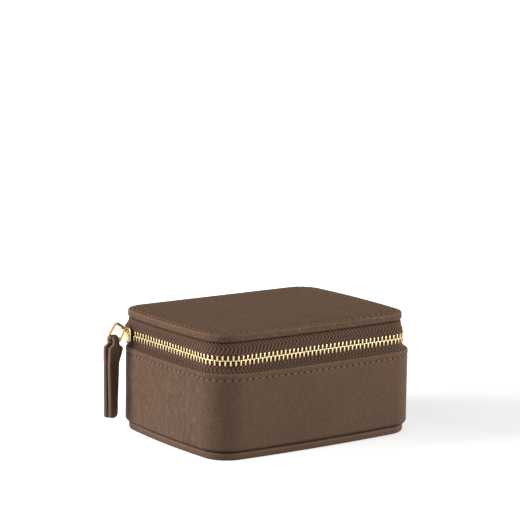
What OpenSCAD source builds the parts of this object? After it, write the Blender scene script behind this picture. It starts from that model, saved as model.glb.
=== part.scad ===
// Jewellery case of leather over board. The lid opens on a leather hinge along the back, and a
// metal zip closes the other three sides. Millimetres. The origin is the middle of the underside,
// +Z is up and the front faces -Y.

/* [Body] */
// Width of the body at its corners, before the side walls bow out
case_w = 130; // [118:1:150]
// Depth of the body at its corners, before the front wall bows out
case_d = 99; // [92:1:116]
// Radius of the body's upright corners
corner_r = 17; // [15:1:22]
// How far the front and side walls bow out at their middle
wall_bow = 1.4; // [0.2:0.1:2]
// Height of the leather rim above the ground
rim_z = 45.1; // [40:0.1:60]
// Radius of the bottom edge of the leather wall
edge_r = 3; // [1.5:0.1:4]

/* [Leather, boards and lining] */
// Thickness of the outer leather
leather_t = 1.4; // [1:0.1:1.8]
// Thickness of the stiff boards
board_t = 2.2; // [1.8:0.1:2.8]
// Thickness of the suede lining
lining_t = 0.8; // [0.5:0.1:1.2]
// Width of the leather turned in under the floor and the lid
turn_in = 12; // [8:1:18]
// Glue line between two layers
glue = 0.05; // [0.03:0.01:0.1]
// Distance of the boards' top edge below the rim
board_drop = 1.5; // [1:0.1:3]

/* [Base panel] */
// Height of the base panel
base_h = 4.4; // [3.4:0.1:6]
// Distance of the base panel inside the body's outline
base_inset = 1.9; // [1:0.1:3]
// Thickness of the leather on the base panel
base_skin = 1.2; // [0.8:0.1:1.6]

/* [Lid] */
// Distance of the lid inside the body's outline, before it is set back
lid_inset = 2.6; // [1.6:0.1:3.4]
// Distance that the lid sits towards the hinge
lid_setback = 2.1; // [0:0.1:2.5]
// Radius of the lid's corners
lid_corner_r = 13.5; // [11:0.5:18]
// Thickness of the lid panel at its edge
lid_t = 4.3; // [4:0.1:6]
// Rise of the lid's middle above its edge
lid_crown = 0.5; // [0.2:0.1:1.2]
// Radius of the lid's edges
lid_edge_r = 1.2; // [0.6:0.1:1.5]
// Thickness of the padded lining under the lid
lid_pad_t = 1.6; // [1:0.1:2.4]

/* [Zip] */
// Height of the middle of the chain above the rim
chain_rise = 6.3; // [5.8:0.1:8]
// Height of the lid's underside above the middle of the chain
lid_rise = 8.9; // [7:0.1:12]
// Distance of the chain inside the body's outline
zip_inset = 3.2; // [2.8:0.1:4]
// Radius of the chain at the front corners
zip_front_r = 14; // [11:0.5:18]
// Radius of the tape at the back corners
zip_back_r = 5; // [4.5:0.5:9]
// Thickness of the zip tape
tape_t = 0.6; // [0.5:0.05:0.8]
// Depth of the tape behind the leather rim
tape_tuck = 8; // [5:0.5:11]
// Spacing of the teeth on one tape
tooth_pitch = 2.6; // [2.5:0.1:3.2]
// Width of one tooth along the tape
tooth_w = 1.05; // [0.8:0.05:1.1]
// Thickness of one tooth through the tape
tooth_t = 1.9; // [1.5:0.1:1.9]
// Reach of one tooth from the middle of the chain to its root
tooth_root = 2.55; // [2:0.05:2.7]
// Reach of one tooth past the middle of the chain
tooth_head = 0.4; // [0.2:0.05:0.5]
// Gap between the tape and the legs of a tooth
tooth_gap = 0.12; // [0.1:0.01:0.15]
// Distance of the first tooth in front of the tape's back bend
teeth_start = 7.1; // [7:0.1:12]

/* [Hinge] */
// Thickness of the hinge leather
hinge_t = 1; // [0.7:0.1:1.2]
// Distance of the hinge leather's ends inside the straight part of the tape at the back
hinge_margin = 11.3; // [4:0.1:16]

/* [Slider] */
// Length of the slider
slider_l = 8; // [7.5:0.5:10]
// Distance between the slider's two plates
slider_gap = 2.6; // [2.4:0.1:3]
// Thickness of each plate
plate_t = 0.9; // [0.7:0.1:1.2]
// Clearance of the slider around the tape and the teeth
slider_clearance = 0.4; // [0.3:0.05:0.6]
// Thickness of the flange along each side of the slider
flange_t = 0.6; // [0.5:0.05:0.9]
// Diameter of the bridge bar that the ring hangs on
bridge_d = 1.3; // [1.1:0.1:1.6]
// Distance of the bridge towards the slider's nose
bridge_shift = 0.6; // [0:0.1:0.8]
// Height of the bridge bar above the middle of the chain
bridge_rise = 2.9; // [1:0.1:3]

/* [Pull] */
// Diameter of the ring's wire
wire_d = 1.5; // [1.2:0.1:1.6]
// Height of the ring from the bridge bar to its lower bar
ring_drop = 6; // [5.8:0.1:8]
// Length of the ring's straight lower bar
ring_bar = 5.2; // [5.2:0.1:8]
// Thickness of the pull's leather
pull_t = 2.2; // [1.8:0.1:2.4]
// Width of the pull
pull_w = 8.5; // [7:0.5:9.5]
// Width of the pull's neck in the ring
neck_w = 3.6; // [3:0.1:3.8]
// Length of the pull below the ring's lower bar
pull_l = 41; // [30:0.5:42]
// Length of the pull's open fold, above where its two layers are glued together
fold_l = 13; // [11:0.5:16]

/* [Compartments] */
// Length of the ring rolls
roll_l = 40; // [30:1:50]
// Height of the ring rolls
roll_h = 24; // [16:1:30]
// Gap between two ring rolls
roll_gap = 0.6; // [0.4:0.1:1.2]
// Thickness of the dividers
divider_t = 3; // [2:0.5:4]
// Distance of the dividers' top below the rim
divider_drop = 7; // [5:1:16]
// Depth of the slip pocket in the lid
pocket_d = 46; // [30:1:60]
// Thickness of the slip pocket
pocket_t = 1.2; // [0.8:0.1:2]

/* [Stitching] */
// Distance of the stitches below the rim
stitch_drop = 3.3; // [2.5:0.1:5]
// Distance of the stitches inside the lid's edge
stitch_inset = 2.4; // [2:0.1:4]
// Spacing of the stitches
stitch_pitch = 3.9; // [3:0.1:5]
// Length of one stitch
stitch_l = 2.7; // [1.5:0.1:2.9]
// Diameter of the thread
thread_d = 0.4; // [0.3:0.05:0.6]

/* [Hidden] */
arc_steps = 8;
side_steps = 6;
running_gap = 0.3;

base_edge_r = 1.6;
base_top_r = 0.8;
floor_z = base_h + glue;
board_floor_z = floor_z + leather_t + glue;
board_top_z = rim_z - board_drop;
board_inset = leather_t + glue;
rebate_z = rim_z - tape_tuck - 1;
rebate_inset = board_inset + hinge_t + glue;
lining_inset = board_inset + board_t + glue;
cavity_inset = lining_inset + lining_t;
lining_floor_z = board_floor_z + board_t + glue;
cavity_z = lining_floor_z + lining_t;
cavity_w = case_w - 2 * cavity_inset;
cavity_d = case_d - 2 * cavity_inset;

chain_z = rim_z + chain_rise;
lid_z = chain_z + lid_rise;
lid_skin = 1.1;
lid_board_z = lid_z + lid_skin + glue;
lid_board_t = lid_t - 2 * (lid_skin + glue);
pad_inset = 4.4;
pad_z = lid_z - glue - lid_pad_t;

zip_w = case_w - 2 * zip_inset;
zip_d = case_d - 2 * zip_inset;
bend_y = zip_d / 2 - zip_back_r;
teeth_y = bend_y - teeth_start;
side_run = teeth_y + zip_d / 2 - zip_front_r;
corner_run = zip_front_r * PI / 2;
front_run = zip_w - 2 * zip_front_r;
right_end = side_run + 2 * corner_run + front_run + side_run + teeth_start;
chain_run = right_end + zip_back_r * PI / 2;
stop_w = 1.5;
teeth_side = floor(side_run / tooth_pitch);
teeth_all = floor(chain_run / tooth_pitch) - 1;
tape_edge = 0.4;
tape_straight = tooth_root + slider_clearance + flange_t + running_gap;
bulge_inset = 0.3;
seam_inset = 0.9;

flange_z = tooth_root + slider_clearance;
slider_h = 2 * (flange_z + flange_t);
slider_y = teeth_y + running_gap + slider_l / 2;
plate_out = slider_gap / 2 + plate_t;
bar_x = plate_out + 2 * running_gap - 0.1 + wire_d + bridge_d / 2;
ring_r = bridge_d / 2 + 0.15 + wire_d / 2;
bridge_y = slider_y + bridge_shift;
foot_w = 1.4;
bridge_l = slider_l - 2 * bridge_shift - 0.2;
bar_z = chain_z + bridge_rise - ring_drop;
ring_lean = 2.15;
ring_top = [2.9, 1.9];
eye_gap = 0.8;
shoulder_l = 1.6;
foot_h = 2;
bar_mid_x = zip_w / 2 + bar_x + ring_lean + ring_bar / 2;

hinge_y = case_d / 2 - board_inset;
hinge_w = zip_w - 2 * (zip_back_r + hinge_margin);
roll_count = 6;
roll_d = (cavity_d - 1 - roll_gap * (roll_count - 1)) / roll_count;
divider_x = -cavity_w / 2 + running_gap + roll_l + running_gap + divider_t / 2;
divider_top = rim_z - divider_drop;

// Point on the rounded corner k of a w by d rectangle, a degrees after the corner starts.
// Corners are counted anticlockwise from the back right one.
function corner_point(k, a, w, d, r) =
    [(k == 0 || k == 3 ? 1 : -1) * (w / 2 - r), (k < 2 ? 1 : -1) * (d / 2 - r)]
    + r * [cos(90 * k + a), sin(90 * k + a)];

// Closed outline with a straight back and three sides that bow out
function outline(w, d, r_back, r_front, bow) = [
    for (k = [0:3])
        let (r = k < 2 ? r_back : r_front, next = (k + 1) % 4, r_next = next < 2 ? r_back : r_front)
        let (from = corner_point(k, 90, w, d, r), to = corner_point(next, 0, w, d, r_next))
        each concat(
            [for (i = [0:arc_steps]) corner_point(k, 90 * i / arc_steps, w, d, r)],
            [for (i = [1:side_steps - 1])
                let (t = i / side_steps, out = (k == 0 ? 0 : bow) * 4 * t * (1 - t))
                from + t * (to - from) + out * [cos(90 * next), sin(90 * next)]]
        )
];

function shift(points, by) = [for (p = points) p + by];

function blend(a, b, t) = [for (i = [0:len(a) - 1]) a[i] + t * (b[i] - a[i])];

function body_ring(inset) =
    outline(case_w - 2 * inset, case_d - 2 * inset, corner_r - inset, corner_r - inset, wall_bow);

function zip_ring(out) =
    outline(zip_w + 2 * out, zip_d + 2 * out, zip_back_r + out, zip_front_r + out, 0);

function lid_ring(inset) = shift(
    outline(case_w - 2 * (lid_inset + inset), case_d - 2 * (lid_inset + inset),
        max(lid_corner_r - inset, 2), max(lid_corner_r - inset, 2), wall_bow),
    [0, lid_setback]);

// Flat panel with the given outline
module slab(points, z0, z1) {
    translate([0, 0, z0]) linear_extrude(z1 - z0) polygon(points);
}

// Solid through a stack of outlines, each given as [height, points]
module loft(rings) {
    n = len(rings[0][1]);
    m = len(rings);
    polyhedron(
        points = [for (ring = rings, p = ring[1]) [p[0], p[1], ring[0]]],
        faces = concat(
            [[for (i = [0:n - 1]) i]],
            [[for (i = [0:n - 1]) m * n - 1 - i]],
            [for (k = [0:m - 2], i = [0:n - 1])
                [k * n + (i + 1) % n, k * n + i, (k + 1) * n + i, (k + 1) * n + (i + 1) % n]]
        )
    );
}

// Rounded edge: heights and insets of a quarter round of radius r that ends at height z
function round_up(z, r, steps) = [for (i = [0:steps]) let (a = 90 * i / steps)
    [z + r * (1 - cos(a)), r * (1 - sin(a))]];
function round_over(z, r, steps) = [for (i = [0:steps]) let (a = 90 * i / steps)
    [z - r * (1 - sin(a)), r * (1 - cos(a))]];

// Base panel: a board wrapped in leather, which the case stands on
module base_leather() {
    color([0.36, 0.28, 0.23]) difference() {
        loft([for (e = concat(round_up(0, base_edge_r, 4), round_over(base_h, base_top_r, 3)))
            [e[0], body_ring(base_inset + e[1])]]);
        slab(body_ring(base_inset + base_skin), base_skin, base_h + 1);
    }
}

module base_board() {
    color([0.62, 0.55, 0.45])
        slab(body_ring(base_inset + base_skin + glue), base_skin + glue, base_h);
}

// Stiff box inside the body. Its walls are thinner near the top, where the tape is tucked in.
module body_board() {
    color([0.62, 0.55, 0.45]) difference() {
        union() {
            slab(body_ring(turn_in + glue), floor_z, board_floor_z + board_t);
            slab(body_ring(board_inset), board_floor_z, rebate_z);
            slab(body_ring(rebate_inset), rebate_z - 1, board_top_z);
        }
        slab(body_ring(board_inset + board_t), board_floor_z + board_t, rim_z);
    }
}

// Leather wall of the body, turned in under the floor
module body_leather() {
    color([0.42, 0.34, 0.28]) difference() {
        loft([for (e = concat(round_up(floor_z, edge_r, 5), round_over(rim_z, leather_t * 0.6, 3)))
            [e[0], body_ring(e[1])]]);
        slab(body_ring(leather_t), floor_z + leather_t, rim_z + 1);
        slab(body_ring(turn_in), floor_z - 1, floor_z + leather_t + 1);
    }
}

// Distance along a closed line of points to the start of each stretch
function runs(p) = [for (i = 0, s = 0; i <= len(p);
    s = s + norm(p[(i + 1) % len(p)] - p[i % len(p)]), i = i + 1) s];

// Place on a closed line of points at distance s: [x, y, heading]
function place_on(p, starts, s) =
    let (k = [for (i = [0:len(p) - 1]) if (starts[i] <= s && s < starts[i + 1]) i][0])
    let (a = p[k], b = p[(k + 1) % len(p)], t = (s - starts[k]) / (starts[k + 1] - starts[k]))
    [a[0] + t * (b[0] - a[0]), a[1] + t * (b[1] - a[1]), atan2(b[1] - a[1], b[0] - a[0])];

// Row of stitches along an outline
module stitches(points, z) {
    starts = runs(points);
    whole = starts[len(points)];
    count = floor(whole / stitch_pitch);
    for (i = [0:count - 1]) {
        at = place_on(points, starts, (i + 0.5) * whole / count);
        translate([at[0], at[1], z]) rotate([0, 0, at[2]])
            cube([stitch_l, thread_d, thread_d], center = true);
    }
}

module body_stitching() {
    color([0.55, 0.46, 0.38]) stitches(body_ring(-thread_d / 2 - 0.1), rim_z - stitch_drop);
}

module body_lining() {
    color([0.74, 0.66, 0.56]) difference() {
        slab(body_ring(lining_inset), lining_floor_z, rim_z - 1);
        slab(body_ring(cavity_inset), cavity_z, rim_z);
    }
}

// Padded divider between the ring rolls and the two open compartments
module divider_long() {
    color([0.7, 0.62, 0.52])
        translate([divider_x - divider_t / 2, -cavity_d / 2 + running_gap, cavity_z])
            cube([divider_t, cavity_d - 2 * running_gap, divider_top - cavity_z]);
}

module divider_cross() {
    from_x = divider_x + divider_t / 2 + running_gap;
    color([0.7, 0.62, 0.52])
        translate([from_x, -divider_t / 2, cavity_z])
            cube([cavity_w / 2 - running_gap - from_x, divider_t, divider_top - cavity_z]);
}

// One ring roll: a padded bar with a round top. Rings are pushed in between two rolls, and the
// two end rolls follow the rounded corners of the lining.
module ring_roll(i) {
    roll_y = (i - (roll_count - 1) / 2) * (roll_d + roll_gap);
    color([0.78, 0.7, 0.6]) intersection() {
        translate([-cavity_w / 2 + running_gap, roll_y, cavity_z]) rotate([90, 0, 90])
            linear_extrude(roll_l) {
                translate([-roll_d / 2, 0]) square([roll_d, roll_h - roll_d / 2]);
                translate([0, roll_h - roll_d / 2]) circle(d = roll_d, $fn = 64);
            }
        slab(body_ring(cavity_inset + running_gap), floor_z, rim_z);
    }
}
module ring_roll_1() { ring_roll(0); }
module ring_roll_2() { ring_roll(1); }
module ring_roll_3() { ring_roll(2); }
module ring_roll_4() { ring_roll(3); }
module ring_roll_5() { ring_roll(4); }
module ring_roll_6() { ring_roll(5); }

// Keeps what is drawn clear of the hinge leather at the back
module beside_hinge() {
    difference() {
        children();
        translate([-hinge_w / 2 - 0.5, 0, 0]) cube([hinge_w + 1, case_d, 2 * lid_z]);
    }
}

// Closed band swept through a loop of outlines, each given as [height, points]
module band(rings) {
    n = len(rings[0][1]);
    m = len(rings);
    polyhedron(
        points = [for (ring = rings, p = ring[1]) [p[0], p[1], ring[0]]],
        faces = [for (k = [0:m - 1], i = [0:n - 1])
            let (j = (i + 1) % n, next = (k + 1) % m)
            [k * n + j, k * n + i, next * n + i, next * n + j]]
    );
}

function reversed(list) = [for (i = [len(list) - 1:-1:0]) list[i]];

// Rings of the lower tape: up behind the rim, over to the chain, then straight to its edge
function lower_tape_rings(out) = let (
    tucked = body_ring(board_inset + tape_t / 2 - out), at_chain = zip_ring(out),
    z0 = chain_z - tape_straight, z1 = rim_z)
    [[rim_z - tape_tuck, tucked], [z1, tucked],
        [(z0 + z1) / 2, blend(tucked, at_chain, 0.55)],
        [z0, at_chain], [chain_z - tape_edge, at_chain]];

module lower_zip_tape() {
    color([0.33, 0.25, 0.2]) beside_hinge()
        band(concat(lower_tape_rings(tape_t / 2), reversed(lower_tape_rings(-tape_t / 2))));
}

// Rings of the upper tape: straight up from the chain, then out to the lid's underside
function upper_tape_rings(out) = let (
    at_chain = zip_ring(out), at_lid = lid_ring(seam_inset + tape_t / 2 - out),
    bulge = lid_ring(bulge_inset + tape_t / 2 - out),
    z0 = chain_z + tape_straight, z1 = lid_z - glue)
    [[chain_z + tape_edge, at_chain], [z0, at_chain],
        [z0 + (z1 - z0) * 0.4, blend(at_chain, bulge, 0.7)], [z0 + (z1 - z0) * 0.8, bulge],
        [z1, at_lid]];

module upper_zip_tape() {
    color([0.33, 0.25, 0.2]) beside_hinge()
        band(concat(upper_tape_rings(tape_t / 2), reversed(upper_tape_rings(-tape_t / 2))));
}

// Place on the chain at distance s from its left end: [x, y, direction that faces out]
function on_chain(s) =
    s < side_run ? [-zip_w / 2, teeth_y - s, 180]
    : s < side_run + corner_run ? on_corner(-1, -1, zip_front_r, 180 + turned(s - side_run, zip_front_r))
    : s < side_run + corner_run + front_run
        ? [-zip_w / 2 + zip_front_r + s - side_run - corner_run, -zip_d / 2, 270]
    : s < side_run + 2 * corner_run + front_run
        ? on_corner(1, -1, zip_front_r, 270 + turned(s - side_run - corner_run - front_run, zip_front_r))
    : s < right_end ? [zip_w / 2, bend_y - right_end + s, 0]
    : s < chain_run ? on_corner(1, 1, zip_back_r, turned(s - right_end, zip_back_r))
    : [zip_w / 2 - zip_back_r - s + chain_run, zip_d / 2, 90];

function turned(run, r) = run / r * 180 / PI;

// Place on one of the chain's corners: side and end are -1 or 1, a is the way that it faces
function on_corner(side, end, r, a) =
    [side * (zip_w / 2 - r) + r * cos(a), end * (zip_d / 2 - r) + r * sin(a), a];

// One tooth: a metal clamp on the edge of the tape, drawn for the lower tape
module tooth() {
    slot = tape_t / 2 + tooth_gap;
    half = tooth_t / 2;
    taper = 0.25;
    rotate([90, 0, 0]) linear_extrude(tooth_w, center = true) polygon([
        [-half, -tooth_root], [-slot, -tooth_root], [-slot, glue - tape_edge],
        [slot, glue - tape_edge], [slot, -tooth_root], [half, -tooth_root],
        [half, -tooth_head], [half - taper, tooth_head], [taper - half, tooth_head],
        [-half, -tooth_head]]);
}

// Teeth number first to last of one row. The upper row is half a pitch further on.
module teeth(first, last, upper) {
    for (i = [first:last]) {
        at = on_chain((i + (upper ? 1 : 0.5)) * tooth_pitch);
        translate([at[0], at[1], chain_z]) rotate([0, 0, at[2]])
            mirror([0, 0, upper ? 1 : 0]) tooth();
    }
}
module lower_zip_teeth() { color([0.85, 0.72, 0.45]) teeth(teeth_side, teeth_all, false); }
module lower_zip_teeth_left() { color([0.85, 0.72, 0.45]) teeth(0, teeth_side - 1, false); }
module upper_zip_teeth() { color([0.85, 0.72, 0.45]) teeth(teeth_side, teeth_all - 1, true); }
module upper_zip_teeth_left() { color([0.85, 0.72, 0.45]) teeth(0, teeth_side - 1, true); }

// The stops crimped on one tape past the last tooth: one at the slider, one at the far end
module stops(upper) {
    past_slider = max(slider_l + 2 * running_gap + stop_w / 2 - teeth_start, 0);
    for (at = [
        on_corner(-1, 1, zip_back_r, 180 - turned(past_slider, zip_back_r)),
        on_chain(chain_run + stop_w)
    ])
        translate([at[0], at[1], chain_z]) rotate([0, 0, at[2]])
            mirror([0, 0, upper ? 1 : 0]) difference() {
                translate([-tooth_t / 2, -stop_w / 2, -tooth_root]) cube([tooth_t, stop_w, tooth_root - 0.2]);
                translate([-tape_t / 2 - tooth_gap, -stop_w, -2 * tooth_root])
                    cube([tape_t + 2 * tooth_gap, 2 * stop_w, 2 * tooth_root - tape_edge + glue]);
            }
}
module lower_zip_stops() { color([0.85, 0.72, 0.45]) stops(false); }
module upper_zip_stops() { color([0.85, 0.72, 0.45]) stops(true); }

// Leather strip that joins the lid to the body along the back
module hinge_leather() {
    color([0.4, 0.32, 0.26])
        translate([-hinge_w / 2, hinge_y - hinge_t, rebate_z + glue])
            cube([hinge_w, hinge_t, lid_z - rebate_z - 2 * glue]);
}

module lid_board() {
    color([0.62, 0.55, 0.45]) {
        slab(lid_ring(lid_skin + glue), lid_board_z, lid_board_z + lid_board_t);
        slab(lid_ring(turn_in + glue), lid_z, lid_board_z + 0.5);
    }
}

module lid_leather() {
    top = lid_z + lid_t;
    edge = concat(round_up(lid_z, lid_edge_r, 3), round_over(top, lid_edge_r, 4));
    crown = [for (t = [0.25, 0.6, 1]) [top + lid_crown * sin(90 * t), lid_edge_r + t * 10]];
    color([0.4, 0.32, 0.26]) difference() {
        loft([for (e = concat(edge, crown)) [e[0], lid_ring(e[1])]]);
        slab(lid_ring(lid_skin), lid_z + lid_skin, top - lid_skin);
        slab(lid_ring(turn_in), lid_z - 1, lid_z + lid_skin + 1);
    }
}

module lid_stitching() {
    color([0.55, 0.46, 0.38])
        stitches(lid_ring(stitch_inset), lid_z + lid_t + 0.3 * lid_crown + thread_d / 2 + 0.12);
}

module lid_lining() {
    color([0.74, 0.66, 0.56]) slab(lid_ring(pad_inset), pad_z, lid_z - glue);
}

// Slip pocket on the front half of the lid's lining
module lid_pocket() {
    color([0.7, 0.62, 0.52]) intersection() {
        slab(lid_ring(pad_inset + 3), pad_z - glue - pocket_t, pad_z - glue);
        translate([-case_w, -case_d, 0])
            cube([2 * case_w, case_d / 2 + lid_inset + lid_setback + pad_inset + pocket_d, 2 * lid_z]);
    }
}

// Puts the slider's own axes on the left side: x out of the case, y to the front, z up
module on_left_side(y) {
    translate([-zip_w / 2, y, chain_z]) rotate([0, 0, 180]) children();
}

// Slider: two plates joined by a post at the nose, with flanges that guide the teeth
module zip_slider() {
    h = slider_h / 2;
    l = slider_l / 2;
    half_plate = [[l, h - 0.6], [l - 0.9, h], [-l + 3, h], [-l + 1, h - 0.7], [-l, h - 2.2]];
    plate = concat(half_plate, [for (i = [4:-1:0]) [half_plate[i][0], -half_plate[i][1]]]);
    slot = tape_t / 2 + slider_clearance - 0.05;
    color([0.85, 0.72, 0.45]) on_left_side(slider_y) {
        for (side = [0, 1]) mirror([side, 0, 0]) {
            translate([slider_gap / 2, 0, 0]) rotate([90, 0, 90]) linear_extrude(plate_t) polygon(plate);
            for (up = [0, 1]) mirror([0, 0, up])
                translate([slot, -l + 3.2, flange_z]) cube([slider_gap / 2 - slot + 0.1, slider_l - 4.2, flange_t]);
        }
        translate([-slider_gap / 2 - 0.1, -l + 0.4, 0.1 - tape_edge])
            cube([slider_gap + 0.2, 2.6, 2 * tape_edge - 0.2]);
    }
}

// Bridge on the slider's outer plate: two feet and a round bar that the ring hangs on
module slider_bridge() {
    color([0.87, 0.74, 0.47]) on_left_side(bridge_y) {
        translate([bar_x, 0, bridge_rise]) rotate([90, 0, 0])
            cylinder(d = bridge_d, h = bridge_l - foot_w, center = true, $fn = 48);
        for (side = [-1, 1]) translate([0, side * (bridge_l - foot_w) / 2, 0]) hull() {
            translate([plate_out + glue, -foot_w / 2, slider_h / 2 - 0.8 - foot_h])
                cube([bridge_d / 2, foot_w, foot_h]);
            translate([bar_x, 0, bridge_rise]) rotate([90, 0, 0])
                cylinder(d = bridge_d, h = foot_w, center = true, $fn = 48);
        }
    }
}

// Round-cornered closed line: arcs of radius r about convex points given anticlockwise
function rounded_loop(v, r, steps) = [
    for (i = [0:len(v) - 1])
        let (before = v[i] - v[(i + len(v) - 1) % len(v)], after = v[(i + 1) % len(v)] - v[i])
        let (a0 = atan2(-before[0], before[1]), turn = (atan2(-after[0], after[1]) - a0 + 720) % 360)
        for (k = [0:steps]) v[i] + r * [cos(a0 + turn * k / steps), sin(a0 + turn * k / steps)]
];

// Tube of round section along a closed line in the x-z plane
module tube_loop(path, d, sides) {
    n = len(path);
    polyhedron(
        points = [for (i = [0:n - 1])
            let (along = path[(i + 1) % n] - path[(i + n - 1) % n])
            let (out = [along[1], -along[0]] / norm(along))
            for (k = [0:sides - 1]) let (a = 360 * k / sides)
                [path[i][0] + d / 2 * cos(a) * out[0], d / 2 * sin(a), path[i][1] + d / 2 * cos(a) * out[1]]],
        faces = [for (i = [0:n - 1], k = [0:sides - 1])
            let (j = (i + 1) % n, m = (k + 1) % sides)
            [i * sides + m, i * sides + k, j * sides + k, j * sides + m]]
    );
}

// Ring between the bridge and the leather pull, a wide D with a straight bar below
module pull_ring() {
    low = ring_r - ring_drop;
    color([0.87, 0.74, 0.47]) on_left_side(bridge_y) translate([bar_x, 0, bridge_rise])
        tube_loop(rounded_loop([[0, 0], [ring_lean, low], [ring_lean + ring_bar, low], ring_top], ring_r, 6),
            wire_d, 12);
}

// Pull: one strip of leather folded through the ring at its narrow neck and glued to itself. Its
// back layer hangs straight and its front layer comes in to meet it.
module leather_pull() {
    eye_r = wire_d / 2 + eye_gap;
    fold_r = eye_r + pull_t;
    glue_d = pull_t - fold_r;
    front_d = glue_d + pull_t + 0.1;
    end_r = 2.2;
    widen_z = -wire_d / 2 - running_gap - 0.1;
    wide_z = widen_z - shoulder_l;
    color([0.27, 0.21, 0.17])
        translate([-bar_mid_x, bridge_y, bar_z]) rotate([0, 0, 180]) intersection() {
            rotate([90, 0, 90]) linear_extrude(pull_w + 2, center = true) difference() {
                union() {
                    circle(r = fold_r, $fn = 64);
                    polygon([[-fold_r, 0], [-fold_r, -pull_l], [front_d, -pull_l], [front_d, -fold_l], [fold_r, 0]]);
                }
                circle(r = eye_r, $fn = 64);
                polygon([[-eye_r * 0.95, -eye_r * 0.3], [glue_d, 2 - fold_l], [eye_r * 0.95, -eye_r * 0.3]]);
            }
            rotate([90, 0, 0]) linear_extrude(4 * fold_r, center = true) polygon(concat(
                [[neck_w / 2, fold_r + 1], [-neck_w / 2, fold_r + 1], [-neck_w / 2, widen_z],
                    [-pull_w / 2, wide_z]],
                [for (a = [180:15:270]) [end_r - pull_w / 2 + end_r * cos(a), end_r - pull_l + end_r * sin(a)]],
                [for (a = [270:15:360]) [pull_w / 2 - end_r + end_r * cos(a), end_r - pull_l + end_r * sin(a)]],
                [[pull_w / 2, wide_z], [neck_w / 2, widen_z]]));
        }
}

base_leather();
base_board();
body_board();
body_leather();
body_stitching();
body_lining();
divider_long();
divider_cross();
ring_roll_1();
ring_roll_2();
ring_roll_3();
ring_roll_4();
ring_roll_5();
ring_roll_6();
lower_zip_tape();
lower_zip_teeth();
lower_zip_teeth_left();
lower_zip_stops();
hinge_leather();
lid_board();
lid_leather();
lid_stitching();
lid_lining();
lid_pocket();
upper_zip_tape();
upper_zip_teeth();
upper_zip_teeth_left();
upper_zip_stops();
zip_slider();
slider_bridge();
pull_ring();
leather_pull();
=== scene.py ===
from math import cos, exp, hypot, pi, radians, sin, sqrt

import bmesh
import bpy
from mathutils import Matrix, Vector, noise


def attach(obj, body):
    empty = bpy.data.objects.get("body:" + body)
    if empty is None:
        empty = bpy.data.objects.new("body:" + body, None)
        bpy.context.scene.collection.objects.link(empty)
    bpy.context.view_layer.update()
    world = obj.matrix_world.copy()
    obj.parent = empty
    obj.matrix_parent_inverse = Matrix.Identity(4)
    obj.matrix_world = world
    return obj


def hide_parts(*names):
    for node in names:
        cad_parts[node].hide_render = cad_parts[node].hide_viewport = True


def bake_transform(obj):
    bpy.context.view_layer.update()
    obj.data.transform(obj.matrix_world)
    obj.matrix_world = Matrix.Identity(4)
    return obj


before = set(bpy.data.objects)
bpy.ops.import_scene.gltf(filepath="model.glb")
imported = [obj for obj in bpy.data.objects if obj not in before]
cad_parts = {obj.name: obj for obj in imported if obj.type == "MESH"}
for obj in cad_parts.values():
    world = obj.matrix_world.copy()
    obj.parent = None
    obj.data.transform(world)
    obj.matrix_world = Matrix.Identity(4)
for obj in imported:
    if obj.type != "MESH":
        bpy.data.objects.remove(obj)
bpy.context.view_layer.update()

mm = 0.001

# ---- Studio ----
# A long lens looks slightly down on the front left corner. The case stands on a white sweep,
# between two low soft boxes, one behind it on the left and one in front of it on the right.
azimuth, elevation, roll = radians(-35.33), radians(9.73), radians(0.73)
camera_place = (-0.6672, -0.9340, 0.2881)
toward = Vector((sin(azimuth) * cos(elevation), -cos(azimuth) * cos(elevation), sin(elevation)))
level = Vector((cos(azimuth), sin(azimuth), 0))
upward = toward.cross(level)
level, upward = level * cos(roll) + upward * sin(roll), upward * cos(roll) - level * sin(roll)
put = bpy.context.scene.collection.objects.link
lens = bpy.data.cameras.new("studio_camera")
lens.sensor_width = 36
lens.lens = 152.7
lens.clip_start, lens.clip_end = 0.05, 20
camera = bpy.data.objects.new("studio_camera", lens)
camera.matrix_world = Matrix.Translation(camera_place) @ Matrix((level, upward, toward)).transposed().to_4x4()
put(camera)
bpy.context.scene.camera = camera
bpy.context.scene.view_settings.view_transform = "Standard"


def wire_up(owner, node, sources):
    """Links the sources that are outputs of other steps, and sets the ones that are numbers"""
    for name, value in sources.items():
        if isinstance(value, bpy.types.NodeSocket):
            owner.node_tree.links.new(value, node.inputs[name])
        else:
            node.inputs[name].default_value = value


def recipe(owner):
    """Gives a function that adds one step to a material or world, and returns one of its outputs"""

    def step(kind, sources, take=0, **settings):
        node = owner.node_tree.nodes.new("ShaderNode" + kind)
        for name, value in settings.items():
            setattr(node, name, value)
        wire_up(owner, node, sources)
        return node.outputs[take]

    return step


def maths(step, operation, *values):
    return step("Math", dict(enumerate(values)), operation=operation)


def ramp(step, value, low, high, least=0.0, most=1.0):
    """Turns low to high into least to most, and stops there"""
    return step("MapRange", {"Value": value, "From Min": low, "From Max": high,
                             "To Min": least, "To Max": most})


def seen_white(step):
    """1 for what the camera sees, straight or in metal, and 0 for what lights the case"""
    seen = step("LightPath", {}, "Is Camera Ray")
    for ray in ("Is Glossy Ray", "Is Transmission Ray"):
        seen = maths(step, "MAXIMUM", seen, step("LightPath", {}, ray))
    return seen


world = bpy.data.worlds.new("studio_world")
world.use_nodes = True
bpy.context.scene.world = world
step = recipe(world)
room_light = 0.33
glow = maths(step, "MULTIPLY_ADD", seen_white(step), 1 - room_light, room_light)
wire_up(world, world.node_tree.nodes["Background"], {"Strength": glow, "Color": (1, 1, 1, 1)})


def new_finish(name):
    finish = bpy.data.materials.new(name)
    finish.use_nodes = True
    return finish, recipe(finish)


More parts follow.
